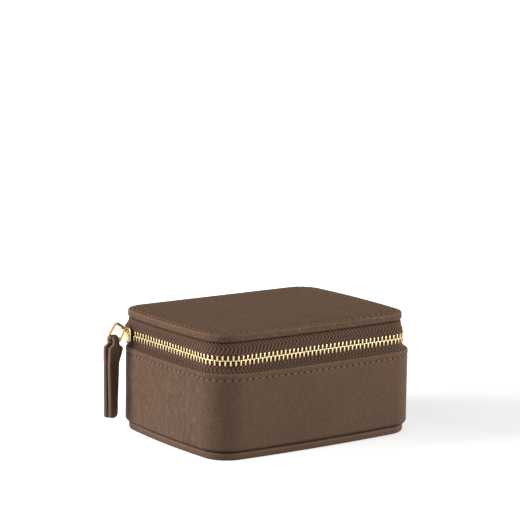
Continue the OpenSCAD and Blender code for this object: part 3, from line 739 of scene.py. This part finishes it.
def pressed(outline, thick, edge, segments=2):
    """A flat shape in x-z made thick along y, with its edges rounded as if it were pressed"""
    work = bmesh.new()
    face = work.faces.new([work.verts.new((x, -thick / 2, z)) for x, z in outline])
    moved = bmesh.ops.extrude_face_region(work, geom=[face])["geom"]
    back = [v for v in moved if isinstance(v, bmesh.types.BMVert)]
    bmesh.ops.translate(work, verts=back, vec=(0, thick, 0))
    bmesh.ops.recalc_face_normals(work, faces=work.faces)
    bmesh.ops.bevel(work, geom=work.edges[:], offset=edge, segments=segments, profile=0.5,
                    affect="EDGES", clamp_overlap=True)
    mesh = bpy.data.meshes.new("pressed")
    work.to_mesh(mesh)
    work.free()
    return mesh


def gathered(placed):
    """One mesh out of many: pairs of a mesh and where it goes"""
    verts, faces = [], []
    for part, where in placed:
        start, way = len(verts), -1 if where.determinant() < 0 else 1
        verts += [where @ v.co for v in part.vertices]
        faces += [tuple(start + i for i in p.vertices)[::way] for p in part.polygons]
    return made(verts, faces)


leg, half, neck_z = 0.42 * mm, tooth_t / 2, -0.35 * mm


def crimp(neck, top, wide, edge):
    """A clamp with a leg on each side of the tape, and a solid top above its neck"""
    legs = [(-half, -tooth_root), (-leg, -tooth_root), (-leg, neck), (leg, neck), (leg, -tooth_root),
            (half, -tooth_root)]
    return pressed(legs + top, wide, edge)


clamp = crimp(neck_z, [(half, neck_z), (half - 0.28 * mm, 0), (0.28 * mm - half, 0), (-half, neck_z)],
              wide=0.8 * mm, edge=0.14 * mm)
head_end, head_top = half - 0.3 * mm, tooth_head - 0.1 * mm
head = pressed([(-head_end, -0.24 * mm), (head_end, -0.24 * mm), (half - 0.12 * mm, 0.04 * mm),
                (head_end, head_top), (-head_end, head_top), (0.12 * mm - half, 0.04 * mm)],
               thick=1.3 * mm, edge=0.12 * mm)


def on_tape(x, y, a, body):
    """Stands a piece on the edge of the tape of the case or, turned over, of the lid"""
    turned_over = Matrix.Scale(-1 if body == "lid" else 1, 4, (0, 0, 1))
    return Matrix.Translation((x, y, chain_z)) @ Matrix.Rotation(a, 4, "Z") @ turned_over


zip_brass = brass_finish("pale_brass", (0.66, 0.51, 0.28), 0.33)
for name, node, first, last, shift, body in (
        ("lower_teeth", "lower_zip_teeth", teeth_side, teeth_all + 1, 0.5, "case_body"),
        ("lower_teeth_left", "lower_zip_teeth_left", 0, teeth_side, 0.5, "case_body"),
        ("upper_teeth", "upper_zip_teeth", teeth_side, teeth_all, 1, "lid"),
        ("upper_teeth_left", "upper_zip_teeth_left", 0, teeth_side, 1, "lid")):
    wheres = [on_tape(*on_chain((i + shift) * tooth_pitch), body) for i in range(first, last)]
    teeth = gathered([(part, where) for where in wheres for part in (clamp, head)])
    fitted(name, teeth, zip_brass, "zip_metal", body, node)

# The stops are crimped on each tape past its last tooth.
stop_w, stop_top = 1.5 * mm, -0.2 * mm
stop = crimp(-0.45 * mm, [(half, stop_top), (-half, stop_top)], stop_w, edge=0.15 * mm)
past_slider = slider_length + 0.6 * mm + stop_w / 2 - teeth_start
stop_places = (on_corner(-1, 1, zip_back_r, pi - past_slider / zip_back_r), on_chain(chain_run + stop_w))
for row, body in (("lower", "case_body"), ("upper", "lid")):
    stops = gathered([(stop, on_tape(*place, body)) for place in stop_places])
    fitted(row + "_stops", stops, zip_brass, "zip_metal", body, row + "_zip_stops")

# ---- Hinge leather ----
# A supple strip along the back, from behind the rim to the lid's underside. On the real case it
# bends level with the zip when the lid opens; here it is one still piece, on no body.
hinge_y, hinge_t, hinge_foot, across_steps = 48.05 * mm, 1 * mm, 36.15 * mm, 90
outer_y, inner_y = hinge_y - 0.02 * mm, hinge_y - hinge_t
heights = [hinge_foot + (lid_z - 0.1 * mm - hinge_foot) * i / 40 for i in range(41)]
hinge_rows = []
for x in [hinge_width * k / across_steps - hinge_width / 2 for k in range(across_steps + 1)]:
    row = []
    for y, z in [(outer_y, z) for z in heights] + [(inner_y, z) for z in reversed(heights)]:
        free = 1 if rim_z < z < lid_z - mm else 0
        wave = 0.12 * mm * noise.noise(Vector((x / (9 * mm), z / (4 * mm), 5))) * free
        row.append((x, y + wave - 0.1 * mm, z))
    hinge_rows.append(row)
hinge_mesh = skin(hinge_rows, steps_round(hinge_rows[0]), parts_of(hinge_width, across_steps), caps=(0, -1))
supple = leather_finish("supple_leather", tint(leather_colour, 0.96), pebble=0.9 * mm, streaks=0.5)
hinge = fitted("hinge_strip", hinge_mesh, supple, "hinge_leather", None, "hinge_leather")
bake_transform(hinge)

# ---- Lid ----
# A board wrapped in the same leather, sewn round its top. The edges are folded over, so they are
# round and catch the light. A painted highlight runs along the top edge, painted shade along the
# lower edge, and the upright sides are painted lighter than the top.
lid_t, lid_crown, lid_edge, lid_skin, lid_reach = 4.3 * mm, 0.5 * mm, 1.2 * mm, 1.1 * mm, 12 * mm
lid_top, lid_seam = lid_z + lid_t, 2.4 * mm
lid_seam_line = inward(lid_line, lid_seam)
lid_seam_count = int(length_round(lid_seam_line) / stitch_pitch)
lid_even = evenly(lid_line, lid_seam_count * columns)
lid_pitch = length_round(lid_line) / lid_seam_count
lid_run = parts_of(length_round(lid_line), len(lid_even))


def lid_surface(x, y, inset, run):
    """A point of the lid's top: crowned, with the groove that the seam pulls"""
    rise = lid_crown * sin(pi / 2 * min(1, max(0, (inset - lid_edge) / (10 * mm))))
    seam = -0.2 * hump(inset, lid_seam, 0.6 * mm)
    seam -= 0.3 * hump(inset, lid_seam, 0.4 * mm) * near_hole(run, lid_pitch)
    soft = 0.09 * noise.noise(Vector((x, y, 0)) / (16 * mm)) * min(1, inset / (4 * mm))
    return x, y, lid_top + rise + (seam + soft) * mm


lid_profile = [(lid_reach, lid_z + lid_skin)]
lid_profile += [(inset, lid_z) for inset in (lid_reach, 8 * mm, 4 * mm, 2 * mm)]
lid_profile += [(lid_edge * (1 - sin(a)), lid_z + lid_edge * (1 - cos(a))) for a in quarter(6)]
lid_profile += [(0, lid_z + 1.8 * mm), (0, lid_z + 2.5 * mm)]
lid_profile += [(lid_edge * (1 - cos(a)), lid_top - lid_edge * (1 - sin(a))) for a in quarter(8)]
lid_rows = courses(lid_even, lid_profile)
from_seam = (-0.95, -0.7, -0.5, -0.3, -0.15, 0.0, 0.15, 0.3, 0.5, 0.75, 1.1, 1.8, 2.8, 4.2, 6, 8, 9.6)
lid_seam_row = len(lid_rows) + from_seam.index(0.0)
for inset in [lid_seam + d * mm for d in from_seam]:
    lid_rows.append([lid_surface(x, y, inset, run)
                     for (x, y, _, _), run in zip(inward(lid_even, inset), lid_run)])
for share in [1 - 0.045 * k for k in range(1, 22)]:
    lid_rows.append([lid_surface(x * share, lid_setback + (y - lid_setback) * share, lid_reach, 0)
                     for x, y, _, _ in inward(lid_even, lid_reach)])
lid_across = steps_of([row[0] for row in lid_rows])
# Painted light: a painted highlight along the top edge, painted shade along the lower edge, upright sides
# painted lighter than the top, and strong painted glints on the top
lid_leather = leather_finish("lid_leather", (0.1125, 0.0625, 0.034), shine=0.02, painted_glint_strength=0.7,
                             edge=(1.08, 1.17, 1.42), seam=(lid_pitch, lid_across[lid_seam_row]),
                             painted_highlight_and_shade=((lid_top - 0.5 * mm, 0.7 * mm, 1.4), (lid_z, 0.7 * mm, 0.45)))
fitted("lid_wrap", skin(lid_rows, lid_run, lid_across, caps=(0, -1)), lid_leather,
       "lid_leather", "lid", "lid_leather")
lid_stitches = stitch_row(evenly(lid_seam_line, 720), lid_seam_count, length=2.7 * mm, thick=0.7 * mm,
                          height=lid_top + 0.05 * mm)
fitted("lid_stitches", lid_stitches, thread, "thread", "lid", "lid_stitching")

# ---- Lid lining and pocket ----
# A thin foam pad covered in suede, and a slip pocket sewn on its front half.
pad_inset, pad_z = 4.4 * mm, 58.65 * mm
pad_line = evenly(lid_line, 300)
pad_profile = [(pad_inset, lid_z - 0.06 * mm)]
pad_profile += [(pad_inset + inset * mm, pad_z + z * mm)
                for inset, z in ((0, 0.9), (0.15, 0.45), (0.5, 0.15), (1.1, 0.02), (3, 0), (7.5, 0))]
pad_mesh = skin(courses(pad_line, pad_profile), parts_of(length_round(lid_line), 300),
                steps_of(pad_profile), caps=(0, -1))
fitted("lid_pad", pad_mesh, suede, "suede", "lid", "lid_lining")

# The pocket is one piece of suede, turned over twice at its open edge and sewn down on the other
# three. It sags a little between them, away from the pad.
pocket_front, pocket_back = -37.3 * mm, 5.5 * mm
pocket_half, pocket_corner, pocket_z, pocket_t = 54.3 * mm, 6 * mm, pad_z - 0.12 * mm, 0.8 * mm


def pocket_point(u, v):
    """u runs from -1 to 1 along the pocket, v from 0 at its sewn edge to 1 at its opening"""
    y = pocket_front + (pocket_back - pocket_front) * v
    from_corner = max(0, pocket_front + pocket_corner - y)
    wide = pocket_half - pocket_corner + sqrt(max(pocket_corner ** 2 - from_corner ** 2, 0))
    slack = 1.1 * mm * (1 - u ** 4) * sin(pi / 2 * v)
    slack += 0.25 * mm * noise.noise(Vector((u * 4, v * 3, 1))) * (1 - u ** 2) * v
    hem = 0.35 * mm if v > 0.9 else 0
    return u * wide, y, pocket_z - slack - hem


pocket_steps = 60
pocket_rise = [0, 0.004, 0.012, 0.03, 0.06] + [0.1 + 0.05 * i for i in range(16)]
pocket_rise += [0.895, 0.905, 0.94, 0.97, 1]
pocket_rows = []
for v in pocket_rise:
    face = [pocket_point(2 * i / pocket_steps - 1, v) for i in range(pocket_steps + 1)]
    pocket_rows.append(face + [(x, y, z - pocket_t) for x, y, z in reversed(face)])
pocket_mesh = skin(pocket_rows, steps_round(pocket_rows[-1]),
                   [(pocket_back - pocket_front) * v for v in pocket_rise], caps=(0, -1))
pocket_suede = suede_finish("pocket_suede", tint(suede_colour, 0.92))
pocket = fitted("lid_pocket", pocket_mesh, pocket_suede, "pocket_suede", "lid", "lid_pocket")

# ---- Slider ----
# A cast slider on the left side of the case: two plates joined by a post at the nose, with flanges
# that press the teeth together, and a bridge over the outer plate that the ring hangs on.
plate_t, plate_gap, flange_z, flange_t = 0.9 * mm, 2.6 * mm, 2.95 * mm, 0.6 * mm
slider_y = teeth_y + 0.3 * mm + slider_length / 2
bridge_y = slider_y + 0.6 * mm
half_h, half_l, plate_out = flange_z + flange_t, slider_length / 2, plate_gap / 2 + plate_t
bridge_rise, bridge_d, wire_d = 2.9 * mm, 1.3 * mm, 1.5 * mm
bar_x = plate_out + 0.5 * mm + wire_d + bridge_d / 2


def on_left_side(y, z=0):
    """The slider's own axes: x out of the case, y to the front, z up"""
    return Matrix.Translation((-zip_width / 2, y, chain_z + z)) @ Matrix.Rotation(pi, 4, "Z")


edge_up = [(half_l, half_h - 0.6 * mm), (half_l - 0.9 * mm, half_h), (3 * mm - half_l, half_h),
           (mm - half_l, half_h - 0.7 * mm), (-half_l, half_h - 2.2 * mm)]
plate = pressed(edge_up + [(y, -z) for y, z in reversed(edge_up)], plate_t, 0.3 * mm, 3)
turned = Matrix.Rotation(pi / 2, 4, "Z") @ Matrix.Scale(-1, 4, (0, 1, 0))
flange = pressed([(3.2 * mm - half_l, 0), (half_l - mm, 0), (half_l - 1.3 * mm, flange_t),
                  (3.5 * mm - half_l, flange_t)], 0.5 * mm, 0.1 * mm)
post = pressed([(0.4 * mm - half_l, -0.3 * mm), (3 * mm - half_l, -0.12 * mm), (3 * mm - half_l, 0.12 * mm),
                (0.4 * mm - half_l, 0.3 * mm)], plate_gap + 0.2 * mm, 0.08 * mm)
slider_at = on_left_side(slider_y)
slider_parts = [(post, slider_at @ turned)]
for side in (-1, 1):
    middle = Matrix.Translation((side * (plate_gap + plate_t) / 2, 0, 0))
    slider_parts.append((plate, slider_at @ middle @ turned))
    for up in (-1, 1):
        inner = Matrix.Translation((side * (plate_gap / 2 - 0.24 * mm), 0, up * flange_z))
        slider_parts.append((flange, slider_at @ inner @ turned @ Matrix.Scale(up, 4, (0, 0, 1))))
slider_brass = brass_finish("slider_brass", (0.72, 0.55, 0.30), 0.27)
fitted("zip_slider", gathered(slider_parts), slider_brass, "slider_metal", "slider", "zip_slider")


def wire(path, thick, closed, where):
    """Round wire along a path in its own x-z plane"""
    rows, n, sides, r = [], len(path), 16, thick / 2
    for i, (x, z) in enumerate(path):
        if closed:
            before, after = path[i - 1], path[(i + 1) % n]
        else:
            before, after = path[max(i - 1, 0)], path[min(i + 1, n - 1)]
        along = Vector((after[0] - before[0], after[1] - before[1])).normalized()
        rows.append([where @ Vector((x + r * cos(a) * along.y, r * sin(a), z - r * cos(a) * along.x))
                     for a in parts_of(2 * pi, sides)[:-1]])
    return skin(rows, parts_of(thick * pi, sides), [i * mm for i in range(n + 1)], round_across=closed,
                caps=() if closed else (0, -1))


def turned_corners(corners, r, steps=8):
    """Open path with its inner corners rounded to radius r"""
    path = [corners[0]]
    for before, at, after in zip(corners, corners[1:], corners[2:]):
        a, b = (Vector(before) - Vector(at)).normalized(), (Vector(after) - Vector(at)).normalized()
        path += [tuple(Vector(at) + r * ((1 - t) ** 2 * a + t ** 2 * b)) for t in parts_of(1, steps)]
    return path + [corners[-1]]


# The bridge is bent from wire, and leans up from its feet to the bar that carries the ring.
bridge_half = (slider_length - 1.4 * mm) / 2 - 0.7 * mm
foot_z, foot_deep = half_h - 1.8 * mm, 0.2 * mm
lean = Vector((bar_x - plate_out, bridge_rise - foot_z))
arch = turned_corners([(-bridge_half, -foot_deep), (-bridge_half, lean.length), (bridge_half, lean.length),
                       (bridge_half, -foot_deep)], 1.1 * mm)
out, rise = lean.normalized()
tilt = Matrix(((0, -rise, out, plate_out), (1, 0, 0, 0), (0, out, rise, 0), (0, 0, 0, 1)))
bridge_mesh = wire(arch, bridge_d, False, on_left_side(bridge_y, foot_z) @ tilt)
fitted("slider_bridge", bridge_mesh, slider_brass, "slider_metal", "slider", "slider_bridge")

# ---- Wire ring ----
# Thick plated wire bent to a D and closed. It hangs from the bridge, and its straight lower bar
# carries the pull.
ring_drop, ring_bar, ring_lean, ring_top = 6 * mm, 5.2 * mm, 2.15 * mm, (2.9 * mm, 1.9 * mm)
ring_wire_d, bend_r = 1.72 * mm, bridge_d / 2 + 0.15 * mm + wire_d / 2
low = bend_r - ring_drop
ring_path = []
bends = [(0, 0), (ring_lean, low), (ring_lean + ring_bar, low), ring_top]
for k, at in enumerate(bends):
    before, after = Vector(at) - Vector(bends[k - 1]), Vector(bends[(k + 1) % 4]) - Vector(at)
    first = Vector((before.y, -before.x)).normalized()
    last = Vector((after.y, -after.x)).normalized()
    for swing in parts_of(-first.angle_signed(last), 12):
        ring_path.append(tuple(Vector(at) + bend_r * (Matrix.Rotation(swing, 2) @ first)))
ring_brass = brass_finish("ring_brass", (0.74, 0.58, 0.33), 0.25)
ring_at = on_left_side(bridge_y, bridge_rise) @ Matrix.Translation((bar_x, 0, 0))
ring_mesh = wire(ring_path, ring_wire_d, True, ring_at)
fitted("pull_ring", ring_mesh, ring_brass, "ring_metal", "ring", "pull_ring")

# ---- Leather pull ----
# One strip of leather, narrow where it goes through the ring, folded over and glued to itself. It
# has taken a twist in use.
pull_t, pull_w, neck_w, pull_l, fold_l = 2.2 * mm, 8.5 * mm, 3.6 * mm, 41 * mm, 13 * mm
eye_r, end_r = wire_d / 2 + 0.8 * mm, 2.4 * mm
pull_twist, pull_drift, layers_apart = radians(34), 0.2 * mm, 0.5 * mm
bar_mid_x, bar_z = zip_width / 2 + bar_x + ring_lean + ring_bar / 2, chain_z + bridge_rise - ring_drop
mid_r = eye_r + pull_t / 2
front_mid = pull_t / 2 - eye_r + layers_apart


def ease(t):
    t = min(1, max(0, t))
    return t * t * (3 - 2 * t)


def strip_middle(z):
    """How far the front layer's middle lies in front of the ring's bar at a height below it"""
    return mid_r + (front_mid - mid_r) * ease(-z / fold_l)


def strip_width(z):
    """Width of the strip at a height from the ring's bar: neck, blade and rounded end"""
    wide = neck_w + (pull_w - neck_w) * ease((-z - wire_d / 2 - 0.2 * mm) / (2.2 * mm))
    from_end = max(0, end_r - (z + pull_l))
    return wide - 2 * (end_r - sqrt(max(end_r ** 2 - from_end ** 2, 0)))


drops = [pull_l - short * mm for short in (0.02, 0.15, 0.45, 1, 1.7, 2.5)]
drops += [drops[-1] * (1 - i / 56) for i in range(1, 57)]
strip = [(-mid_r, -d) for d in drops]
strip += [(-mid_r * cos(pi * i / 18), mid_r * sin(pi * i / 18)) for i in range(1, 18)]
strip += [(strip_middle(-d), -d) for d in reversed(drops)]
edge_r, edge_steps, half_t = 0.75 * mm, 5, pull_t / 2 - 0.04 * mm
strip_rows = []
for i, (d, z) in enumerate(strip):
    ahead, behind = strip[min(i + 1, len(strip) - 1)], strip[max(i - 1, 0)]
    along = Vector((ahead[0] - behind[0], ahead[1] - behind[1])).normalized()
    out = Vector((-along.y, along.x))
    half_w = strip_width(z) / 2
    flat_w, flat_t = half_w - edge_r, half_t - edge_r
    section = []
    for sx, sy, turn in ((1, 1, 0), (-1, 1, 1), (-1, -1, 2), (1, -1, 3)):
        for a in quarter(edge_steps):
            a += turn * pi / 2
            section.append((sx * flat_w + edge_r * cos(a), sy * flat_t + edge_r * sin(a)))
        if sx == sy:
            section += [(flat_w * t * sy, half_t * sy) for t in (0.6, 0.2, -0.2, -0.6)]
    row = []
    for w, t in section:
        crown = 0.12 * mm * (1 - (w / half_w) ** 2) * (1 if t > 0 else 0.3)
        dent = 0.1 * mm * noise.noise(Vector((w / (5 * mm), z / (6 * mm), d / (9 * mm))))
        off = t + (crown + dent) * (1 if t > 0 else -1) * 0.6
        deep, tall = d + off * out.x, z + off * out.y
        twist = 0.65 * ease((-tall - mm) / (12 * mm)) + 0.35 * ease((-tall - 8 * mm) / (30 * mm))
        twist *= pull_twist
        leaned = pull_drift * max(0, -tall / pull_l) ** 1.3
        x = -bar_mid_x - w * cos(twist) + deep * sin(twist) - leaned
        row.append((x, bridge_y - w * sin(twist) - deep * cos(twist), bar_z + tall))
    strip_rows.append(row)
pull_mesh = skin(strip_rows, steps_round(strip_rows[20]), steps_of(strip), caps=(0, -1))
# Painted light: the pull's leather is painted 1.2 times lighter than the case's, for the light it lacks in
# the case's shade
pull_leather = leather_finish("pull_leather", tint(leather_colour, 1.2), pebble=0.7 * mm, streaks=0.3,
                              shine=0.3)
fitted("leather_pull", pull_mesh, pull_leather, "pull_leather", "pull", "leather_pull")
